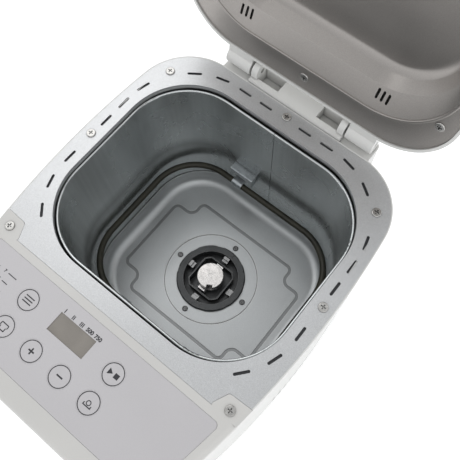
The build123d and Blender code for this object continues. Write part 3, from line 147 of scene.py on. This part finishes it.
def look(name, base, rough, metal=0.0, grain=(900, 0.03, 0.02), blotch=(14, 0.05, 0.06), streak=None,
         painted_bands=(), wear_and_highlight=None, crease_shade=None, **sockets):
    """A surface with colour drift and fine grain, and what else it is given.

    grain: scale, bump strength, darkening. blotch: scale, colour drift, roughness drift.
    streak: stretch of the noise, darkening. bands: lowest and highest z in the deck frame, tint, amount, of
    painted light and shade.
    wear: tint, amount and radius of lighter edges, which are partly worn edges and partly painted highlights.
    crease: amount and reach of painted shade in the creases.
    """
    material = bpy.data.materials.new(name)
    material.use_nodes = True
    tree = material.node_tree
    shader = tree.nodes["Principled BSDF"]
    shader.inputs["Metallic"].default_value = metal
    for socket, value in sockets.items():
        shader.inputs[socket.replace("_", " ")].default_value = value
    place = tree.nodes.new("ShaderNodeTexCoord").outputs["Object"]

    def shade(factor):
        return tuple(min(1.0, channel * factor) for channel in base) + (1.0,)

    drift = noise(tree, blotch[0], 4, place, distortion=0.6)
    fine = noise(tree, grain[0], 2, place)
    height = ramp(tree, fine, 0, 1)
    colour = mix(tree, ramp(tree, drift, 0, 1), shade(1 - blotch[1]), shade(1 + blotch[1]))
    colour = mix(tree, ramp(tree, fine, 0, grain[2]), colour, (0.0, 0.0, 0.0, 1.0))
    if streak:
        stretch = tree.nodes.new("ShaderNodeMapping")
        stretch.inputs["Scale"].default_value = streak[0]
        tree.links.new(place, stretch.inputs["Vector"])
        lines = noise(tree, 1.0, 6, stretch.outputs["Vector"])
        height = ramp(tree, lines, 0, 1)
        colour = mix(tree, ramp(tree, lines, 0, streak[1]), colour, shade(0.45))
    # Painted light and shade, each band tinting one range of height.
    for low, high, tint, amount in painted_bands:
        colour = mix(tree, painted_height_band(tree, place, low, high, amount), colour, tint + (1.0,))
    # Lighter sharp edges: partly worn edges, partly painted edge highlights.
    if wear_and_highlight:
        tint, amount, radius = wear_and_highlight if len(wear_and_highlight) == 3 else wear_and_highlight + (WEAR_AND_HIGHLIGHT_RADIUS,)
        colour = mix(tree, edge_wear_and_highlight_mask(tree, radius, amount), colour, tint + (1.0,))
    # Painted shade: grooves and folds darkened by ambient occlusion.
    if crease_shade:
        colour = mix(tree, painted_crease_shade_mask(tree, *crease_shade), colour, shade(0.08))

    bump = tree.nodes.new("ShaderNodeBump")
    bump.inputs["Strength"].default_value = grain[1]
    bump.inputs["Distance"].default_value = BUMP_DISTANCE
    tree.links.new(height, bump.inputs["Height"])
    tree.links.new(bump.outputs["Normal"], shader.inputs["Normal"])
    tree.links.new(colour, shader.inputs["Base Color"])
    roughness = ramp(tree, drift, rough - blotch[2], rough + blotch[2])
    tree.links.new(roughness, shader.inputs["Roughness"])
    return material


# The record's material slots, then the finishes that single nodes and the print take.
looks = {
    "casing": look(
        "white_plastic", (0.66, 0.655, 0.635), 0.36, grain=(1500, 0.05, 0.015), blotch=(9, 0.02, 0.05),
        wear_and_highlight=((0.80, 0.80, 0.78), 0.5), crease_shade=(0.6, 0.0025), Coat_Weight=0.15,
    ),
    "deck": look(
        "satin_deck", (0.60, 0.605, 0.61), 0.38, 0.8, grain=(2600, 0.06, 0.22), blotch=(7, 0.04, 0.04),
        wear_and_highlight=((0.75, 0.75, 0.75), 0.35), crease_shade=(0.6, 0.002),
    ),
    "screw": look(
        "plated_screw", (0.50, 0.49, 0.47), 0.22, 0.85, grain=(2400, 0.03, 0.1),
        blotch=(300, 0.12, 0.08), wear_and_highlight=((0.85, 0.85, 0.85), 0.4), crease_shade=(1.0, 0.0022),
    ),
    "membrane": look(
        "panel_overlay", (0.515, 0.50, 0.51), 0.40, 0.12, grain=(3200, 0.03, 0.07),
        blotch=(8, 0.015, 0.03),
    ),
    "lcd": look(
        "display_window", (0.225, 0.205, 0.18), 0.16, grain=(5200, 0.01, 0.08), blotch=(45, 0.07, 0.03),
        Coat_Weight=0.6,
    ),
    "lcd_frame": look("black_plastic", (0.03, 0.03, 0.03), 0.5),
    "circuit_board": look(
        "phenolic_board", (0.30, 0.19, 0.08), 0.55, grain=(1800, 0.1, 0.15), blotch=(40, 0.12, 0.08),
        streak=((60, 900, 60), 0.3),
    ),
    "switch": look("switch_body", (0.035, 0.035, 0.037), 0.42, grain=(2000, 0.06, 0.05)),
    "liner": look(
        "liner_sheet", (0.46, 0.49, 0.49), 0.27, 0.85, grain=(2300, 0.04, 0.12),
        blotch=(16, 0.09, 0.05), streak=((260, 260, 9), 0.16),
        # Painted light on the walls: a dark painted reflection low down, and a painted highlight along the
        # hem at the top.
        painted_bands=[
            (-112, -84, (0.07, 0.07, 0.068), 0.45),
            (-9.5, -2.5, (0.62, 0.64, 0.64), 0.9),
        ],
        crease_shade=(0.5, 0.003),
    ),
    "floor_pan": look(
        "floor_sheet", (0.60, 0.615, 0.62), 0.38, 0.62, grain=(2300, 0.04, 0.10),
        blotch=(16, 0.05, 0.04),
        # Painted shade in the groove of the pressed outline; the bright edges below are painted highlights on
        # the bead.
        painted_bands=[
            (-178.6, -176.6, (0.10, 0.10, 0.10), 0.8),
            (-176.95, -176.05, (0.10, 0.10, 0.10), 0.7),
        ],
        crease_shade=(0.5, 0.004), wear_and_highlight=((0.95, 0.95, 0.94), 0.9, 0.0008),
    ),
    "heater": look(
        "heater_sheath", (0.050, 0.047, 0.034), 0.46, 0.35, grain=(1400, 0.12, 0.3),
        blotch=(90, 0.35, 0.12), wear_and_highlight=((0.13, 0.12, 0.09), 0.4),
    ),
    "ceramic": look("ceramic_bush", (0.78, 0.75, 0.68), 0.7, grain=(1500, 0.15, 0.06)),
    "bright_steel": look(
        "bright_steel", (0.68, 0.68, 0.67), 0.2, 1.0, grain=(2200, 0.03, 0.1), blotch=(120, 0.1, 0.07),
        wear_and_highlight=((0.95, 0.95, 0.95), 0.7),
    ),
    "shield": look(
        "shield_sheet", (0.55, 0.55, 0.54), 0.4, 0.9, blotch=(14, 0.1, 0.1),
        streak=((300, 300, 12), 0.2),
    ),
    "seat": look(
        "seat_coating", (0.085, 0.088, 0.09), 0.36, 0.4, grain=(1700, 0.16, 0.2), blotch=(70, 0.2, 0.1),
        wear_and_highlight=((0.36, 0.36, 0.36), 0.8), crease_shade=(0.9, 0.006),
    ),
    "zinc": look(
        "zinc_plate", (0.50, 0.51, 0.52), 0.38, 0.9, grain=(1200, 0.06, 0.1), blotch=(60, 0.18, 0.12),
        crease_shade=(0.8, 0.003),
    ),
    "cast": look(
        "cast_alloy", (0.42, 0.42, 0.42), 0.5, 0.9, grain=(1100, 0.25, 0.15), blotch=(50, 0.12, 0.1),
    ),
    "bronze": look("sintered_bronze", (0.42, 0.27, 0.12), 0.45, 0.9, grain=(3000, 0.2, 0.2)),
    "rubber": look(
        "black_rubber", (0.022, 0.022, 0.022), 0.72, grain=(1300, 0.12, 0.1), blotch=(60, 0.2, 0.08),
    ),
    "coupler": look(
        "coupler_alloy", (0.58, 0.56, 0.545), 0.26, 0.9, grain=(2300, 0.05, 0.08),
        blotch=(180, 0.10, 0.1), wear_and_highlight=((0.9, 0.9, 0.9), 0.8), crease_shade=(0.9, 0.003),
    ),
    "pulley": look(
        "nylon_pulley", (0.05, 0.05, 0.05), 0.5, grain=(1200, 0.1, 0.1), blotch=(50, 0.15, 0.08),
    ),
    "belt": look(
        "belt_rubber", (0.02, 0.02, 0.02), 0.66, grain=(1800, 0.15, 0.1), streak=((30, 30, 2200), 0.4),
    ),
    "motor": look(
        "motor_case_steel", (0.38, 0.39, 0.40), 0.34, 0.9, blotch=(40, 0.12, 0.1),
        streak=((400, 400, 20), 0.2),
    ),
    "rotor": look("rotor_laminations", (0.20, 0.20, 0.21), 0.45, 0.8, streak=((10, 10, 2500), 0.6)),
    "base": look(
        "base_plastic", (0.72, 0.72, 0.70), 0.5, grain=(1100, 0.18, 0.03), blotch=(9, 0.03, 0.05),
    ),
    "component": look("component_shell", (0.05, 0.06, 0.09), 0.4, blotch=(60, 0.3, 0.1)),
    "ribbon": look("ribbon_flat_cable", (0.34, 0.34, 0.36), 0.5, streak=((1600, 20, 20), 0.6)),
    "lid_liner": look(
        "lid_sheet", (0.40, 0.375, 0.355), 0.33, 0.8, grain=(2300, 0.05, 0.16), blotch=(8, 0.06, 0.05),
        wear_and_highlight=((0.62, 0.61, 0.60), 0.5),
    ),
    "gland": look("gland_rubber", (0.6, 0.6, 0.58), 0.6, grain=(1300, 0.1, 0.05)),
    "button": look(
        "button_overlay", (0.515, 0.50, 0.51), 0.42, 0.1, grain=(3200, 0.03, 0.07),
        blotch=(50, 0.02, 0.03),
    ),
    "bezel": look(
        "bezel_plastic", (0.56, 0.55, 0.53), 0.36, grain=(1500, 0.05, 0.015), blotch=(9, 0.02, 0.05),
        wear_and_highlight=((0.72, 0.71, 0.69), 0.5), crease_shade=(0.6, 0.0025), Coat_Weight=0.15,
    ),
    "bracket": look(
        "bracket_plate", (0.50, 0.53, 0.55), 0.30, 0.75, grain=(2200, 0.05, 0.16),
        blotch=(60, 0.2, 0.08), wear_and_highlight=((0.9, 0.9, 0.9), 1.0), crease_shade=(0.8, 0.004),
    ),
    "clip": look(
        "clip_steel", (0.30, 0.30, 0.30), 0.3, 0.9, grain=(2200, 0.05, 0.2), blotch=(120, 0.25, 0.08),
        wear_and_highlight=((0.7, 0.7, 0.7), 0.7), crease_shade=(0.9, 0.004),
    ),
    "dark_screw": look(
        "blackened_screw", (0.10, 0.10, 0.10), 0.3, 0.9, grain=(2400, 0.05, 0.1),
        blotch=(300, 0.2, 0.1), wear_and_highlight=((0.45, 0.45, 0.45), 0.8),
    ),
    "ink": look(
        "ink_and_painted_shade", (0.022, 0.022, 0.026), 0.5, grain=(3000, 0.02, 0.2), blotch=(120, 0.2, 0.05),
    ),
}
for part in frame["record"]["subparts"]:
    for slot in nodes[part["node"]].material_slots:
        slot.material = looks[part["material_slot"]]
own_finish = {
    "control_bezel": "bezel",
    "sensor_bracket": "bracket",
    "heater_clips": "bracket",
    "seat_clips": "clip",
    "seat_screws": "dark_screw",
}
for node, finish in own_finish.items():
    for slot in nodes[node].material_slots:
        slot.material = looks[finish]


# ---------------------------------------------------------------- printed marks, and sheets of painted shade under the slots
# Places and sizes in millimetres in the deck frame.
INK = 0.04  # thickness of the print
ON_PANEL = 0.01  # underside of the flat marks
NUMBER_LEVEL = 0.03  # middle of the numerals' thickness


def add_piece(name, mesh, body, finish):
    """A mesh made into a piece with one finish, moving with a body."""
    mesh.materials.clear()
    mesh.materials.append(looks[finish])
    piece = bpy.data.objects.new(name, mesh)
    bpy.context.scene.collection.objects.link(piece)
    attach(piece, body)


def printed(name, loops, centre, level, body, finish="ink"):
    """Flat shapes about a centre, with the thickness of a layer of ink: printed marks, and the sheets of
    painted shade.
    """
    mesh = bpy.data.meshes.new(name)
    grid = bmesh.new()
    for loop in loops:
        grid.faces.new([grid.verts.new(at(centre[0] + x, centre[1] + y, level)) for x, y in loop])
    raised = bmesh.ops.extrude_face_region(grid, geom=grid.faces[:])
    for corner in raised["geom"]:
        if isinstance(corner, bmesh.types.BMVert):
            corner.co.z += INK / 1000
    bmesh.ops.recalc_face_normals(grid, faces=grid.faces[:])
    grid.to_mesh(mesh)
    grid.free()
    add_piece(name, mesh, body, finish)


def digits(name, text, centre, size):
    """Plain printed numerals on the control panel."""
    curve = bpy.data.curves.new(name, "FONT")
    curve.body = text
    curve.size = size / 1000
    curve.align_x = "CENTER"
    curve.align_y = "CENTER"
    curve.extrude = INK / 2000
    curve.offset = size * 0.00004
    text_object = bpy.data.objects.new(name + "_curve", curve)
    mesh = bpy.data.meshes.new_from_object(text_object)
    bpy.data.objects.remove(text_object)
    mesh.transform(Matrix.Translation(at(centre[0], centre[1], NUMBER_LEVEL)))
    add_piece(name, mesh, "machine", "ink")


def bar(x, y, width, height):
    """A rectangle about x, y."""
    left, right, front, rear = x - width / 2, x + width / 2, y - height / 2, y + height / 2
    return [(left, front), (right, front), (right, rear), (left, rear)]


def ring(radius, width, steps=64):
    """An annulus as a row of four-sided faces."""
    inner, outer = radius - width / 2, radius + width / 2
    faces = []
    for step in range(steps):
        first, last = radians(360 * step / steps), radians(360 * (step + 1) / steps)
        corners = ((inner, first), (outer, first), (outer, last), (inner, last))
        faces.append([(reach * cos(angle), reach * sin(angle)) for reach, angle in corners])
    return faces


def turned(loop, degrees):
    """A loop turned about the origin."""
    lean = Matrix.Rotation(radians(degrees), 2)
    return [tuple(lean @ Vector(point)) for point in loop]


def centre_of(node):
    """The middle of a node, seen from above."""
    low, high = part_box(node)
    return ((low[0] + high[0]) * 500, ((low[1] + high[1]) / 2 - DECK_Y) * 1000)


# Each button has a sign inside a circle, and a flush surround that fills the gap to the overlay
CIRCLE_R, CIRCLE_WIDTH = 8.15, 0.62
SURROUND_R, SURROUND_WIDTH, SURROUND_LEVEL = 9.1, 0.72, -0.12
icons = {
    "button_menu": [bar(0, y, 8.4, 0.9) for y in (2.4, 0, -2.4)],
    "button_colour": [
        bar(-3.4, 0.9, 0.8, 2.4), bar(3.4, 0.9, 0.8, 2.4), bar(0, -3.2, 5.4, 0.8),
        bar(-2.5, -1.8, 0.8, 3.0), bar(2.5, -1.8, 0.8, 3.0), bar(0, 2.3, 6.8, 0.8),
    ],
    "button_plus": [bar(0, 0, 5.4, 1.2), bar(0, 1.65, 1.2, 2.1), bar(0, -1.65, 1.2, 2.1)],
    "button_minus": [bar(0, 0, 5.6, 1.2)],
    "button_start": [[(-4.6, -2.6), (-0.6, 0), (-4.6, 2.6)], bar(3.0, 0, 3.9, 3.9)],
    "button_weight": [
        *ring(1.7, 0.7, steps=28),
        bar(0, -2.7, 7.4, 0.8), bar(-3.2, -1.6, 0.8, 1.4), bar(3.2, -1.6, 0.8, 1.4),
    ],
}
for button, shapes in icons.items():
    middle = centre_of(button)
    printed(button + "_icon", shapes + ring(CIRCLE_R, CIRCLE_WIDTH), middle, ON_PANEL, button)
    surround = ring(SURROUND_R, SURROUND_WIDTH)
    printed(button + "_surround", surround, middle, SURROUND_LEVEL, "machine", finish="membrane")

# Shade bars and loaf weights behind the display
MARK_Y = -127.4
BAR_STEP, BAR_WIDTH, BAR_HEIGHT = 1.3, 0.75, 3.4
for strokes, x in enumerate((-28.9, -20.6, -12.0), start=1):
    places = [(stroke - (strokes - 1) / 2) * BAR_STEP for stroke in range(strokes)]
    bars = [bar(place, 0, BAR_WIDTH, BAR_HEIGHT) for place in places]
    printed(f"shade_mark_{strokes}", bars, (x, MARK_Y), ON_PANEL, "machine")
digits("weight_mark_small", "500", (-3.9, MARK_Y), 4.4)
digits("weight_mark_large", "750", (4.4, MARK_Y), 4.4)

# Twelve numbered programmes in two columns, each with a line in place of its name
PROGRAM_COLUMNS, PROGRAM_REAR, PROGRAM_STEP, PROGRAM_ROWS = (-104.0, -88.0), -134.0, 7.2, 6
for program in range(12):
    x = PROGRAM_COLUMNS[program // PROGRAM_ROWS]
    y = PROGRAM_REAR - PROGRAM_STEP * (program % PROGRAM_ROWS)
    length = 6.5 + 2.2 * sin(2.3 * program)
    digits(f"program_number_{program + 1}", str(program + 1), (x, y), 3.4)
    line = bar(3.4 + length / 2, 0, length, 0.7)
    printed(f"program_line_{program + 1}", [line], (x, y), ON_PANEL, "machine")

# Dark sheets under the deck's slots, a little larger than each slot: painted shade that makes the slots read
# dark
SHADE_SHEET_SIZE, SHADE_SHEET_LEVEL = (14.5, 3.5), -1.4
SLOT_X, SLOT_REAR = 118.9, 107.7  # the side and rear rows of slots
ARC_X, ARC_Y, ARC_R = 50.7, 39.5, 68.2  # the arc of slots round a rear corner
FRONT_ARC_Y = 3.4 - ARC_Y
slots = [(SLOT_X, y, 90) for y in (34.8, 12.6, -31.4)] + [(x, SLOT_REAR, 0) for x in (20.6, 42.9)]
for angle, arc_y in ((15.3, ARC_Y), (55.0, ARC_Y), (76.5, ARC_Y), (-18.5, FRONT_ARC_Y), (-40.5, FRONT_ARC_Y)):
    x = ARC_X + ARC_R * cos(radians(angle))
    slots.append((x, arc_y + ARC_R * sin(radians(angle)), angle + 90))
shade_sheets = []
for x, y, turn in slots:
    patch = turned(bar(0, 0, *SHADE_SHEET_SIZE), turn)
    for hand in (-1, 1):
        shade_sheets.append([(hand * (x + patch_x), y + patch_y) for patch_x, patch_y in patch])
printed("slot_painted_shade_sheet", shade_sheets, (0, 0), SHADE_SHEET_LEVEL, "machine")

# ---------------------------------------------------------------- floor, light and camera
FLOOR_HALF = 6.0  # metres
FLOOR_GAP = 0.0002  # metres below the feet
floor_mesh = bpy.data.meshes.new("floor")
grid = bmesh.new()
bmesh.ops.create_grid(grid, x_segments=8, y_segments=8, size=FLOOR_HALF)
grid.to_mesh(floor_mesh)
grid.free()
floor_look = look(
    "pale_floor", (0.9, 0.9, 0.9), 0.6, grain=(400, 0.0, 0.004), blotch=(2, 0.01, 0.02),
    Emission_Color=(1.0, 1.0, 1.0, 1.0), Emission_Strength=0.3,
)
floor_mesh.materials.append(floor_look)
floor = bpy.data.objects.new("floor", floor_mesh)
bpy.context.scene.collection.objects.link(floor)
floor.location.z = cad_box[0][2] - FLOOR_GAP

# A pale room, brighter at the horizon than overhead
HORIZON, ZENITH = 1.12, 0.78
world = bpy.data.worlds.new("studio")
bpy.context.scene.world = world
world.use_nodes = True
sky = world.node_tree
direction = sky.nodes.new("ShaderNodeSeparateXYZ")
sky.links.new(sky.nodes.new("ShaderNodeTexCoord").outputs["Generated"], direction.inputs["Vector"])
strength = ramp(sky, direction.outputs["Z"], HORIZON, ZENITH, 0.0, 1.0)
sky.links.new(strength, sky.nodes["Background"].inputs["Strength"])
sky.nodes["Background"].inputs["Color"].default_value = (0.97, 0.985, 1.0, 1.0)


def lamp(name, place, size, power):
    """A soft square light, aimed at the middle of the deck."""
    light = bpy.data.lights.new(name, "AREA")
    light.shape = "RECTANGLE"
    light.size, light.size_y = size
    light.energy = power
    stand = bpy.data.objects.new(name, light)
    stand.location = at(*place)
    stand.rotation_euler = (at(0, 0) - stand.location).to_track_quat("-Z", "Y").to_euler()
    bpy.context.scene.collection.objects.link(stand)


lamp("key", (-700, 500, 1300), (1.2, 0.9), 5)
lamp("fill", (900, -700, 900), (1.4, 1.0), 2.5)

# The camera stands above the right front corner of the deck, at the photograph's angle
CAMERA_PLACE = (138.7, -125.1, 435.3)
AZIMUTH, ELEVATION, ROLL = radians(41.79), radians(68.89), radians(3.08)
camera = bpy.data.cameras.new("camera")
camera.sensor_width = 36.0
camera.lens = 46.37
camera.clip_start = 0.01
forward = Vector((-sin(AZIMUTH) * cos(ELEVATION), cos(AZIMUTH) * cos(ELEVATION), -sin(ELEVATION)))
level_right = forward.cross(Vector((0, 0, 1))).normalized()
level_down = forward.cross(level_right)
right = cos(ROLL) * level_right + sin(ROLL) * level_down
down = cos(ROLL) * level_down - sin(ROLL) * level_right
viewer = bpy.data.objects.new("camera", camera)
aim = Matrix((right, -down, -forward)).transposed()
viewer.matrix_world = Matrix.Translation(at(*CAMERA_PLACE)) @ aim.to_4x4()
bpy.context.scene.collection.objects.link(viewer)
bpy.context.scene.camera = viewer
bpy.context.scene.view_settings.view_transform = "Standard"
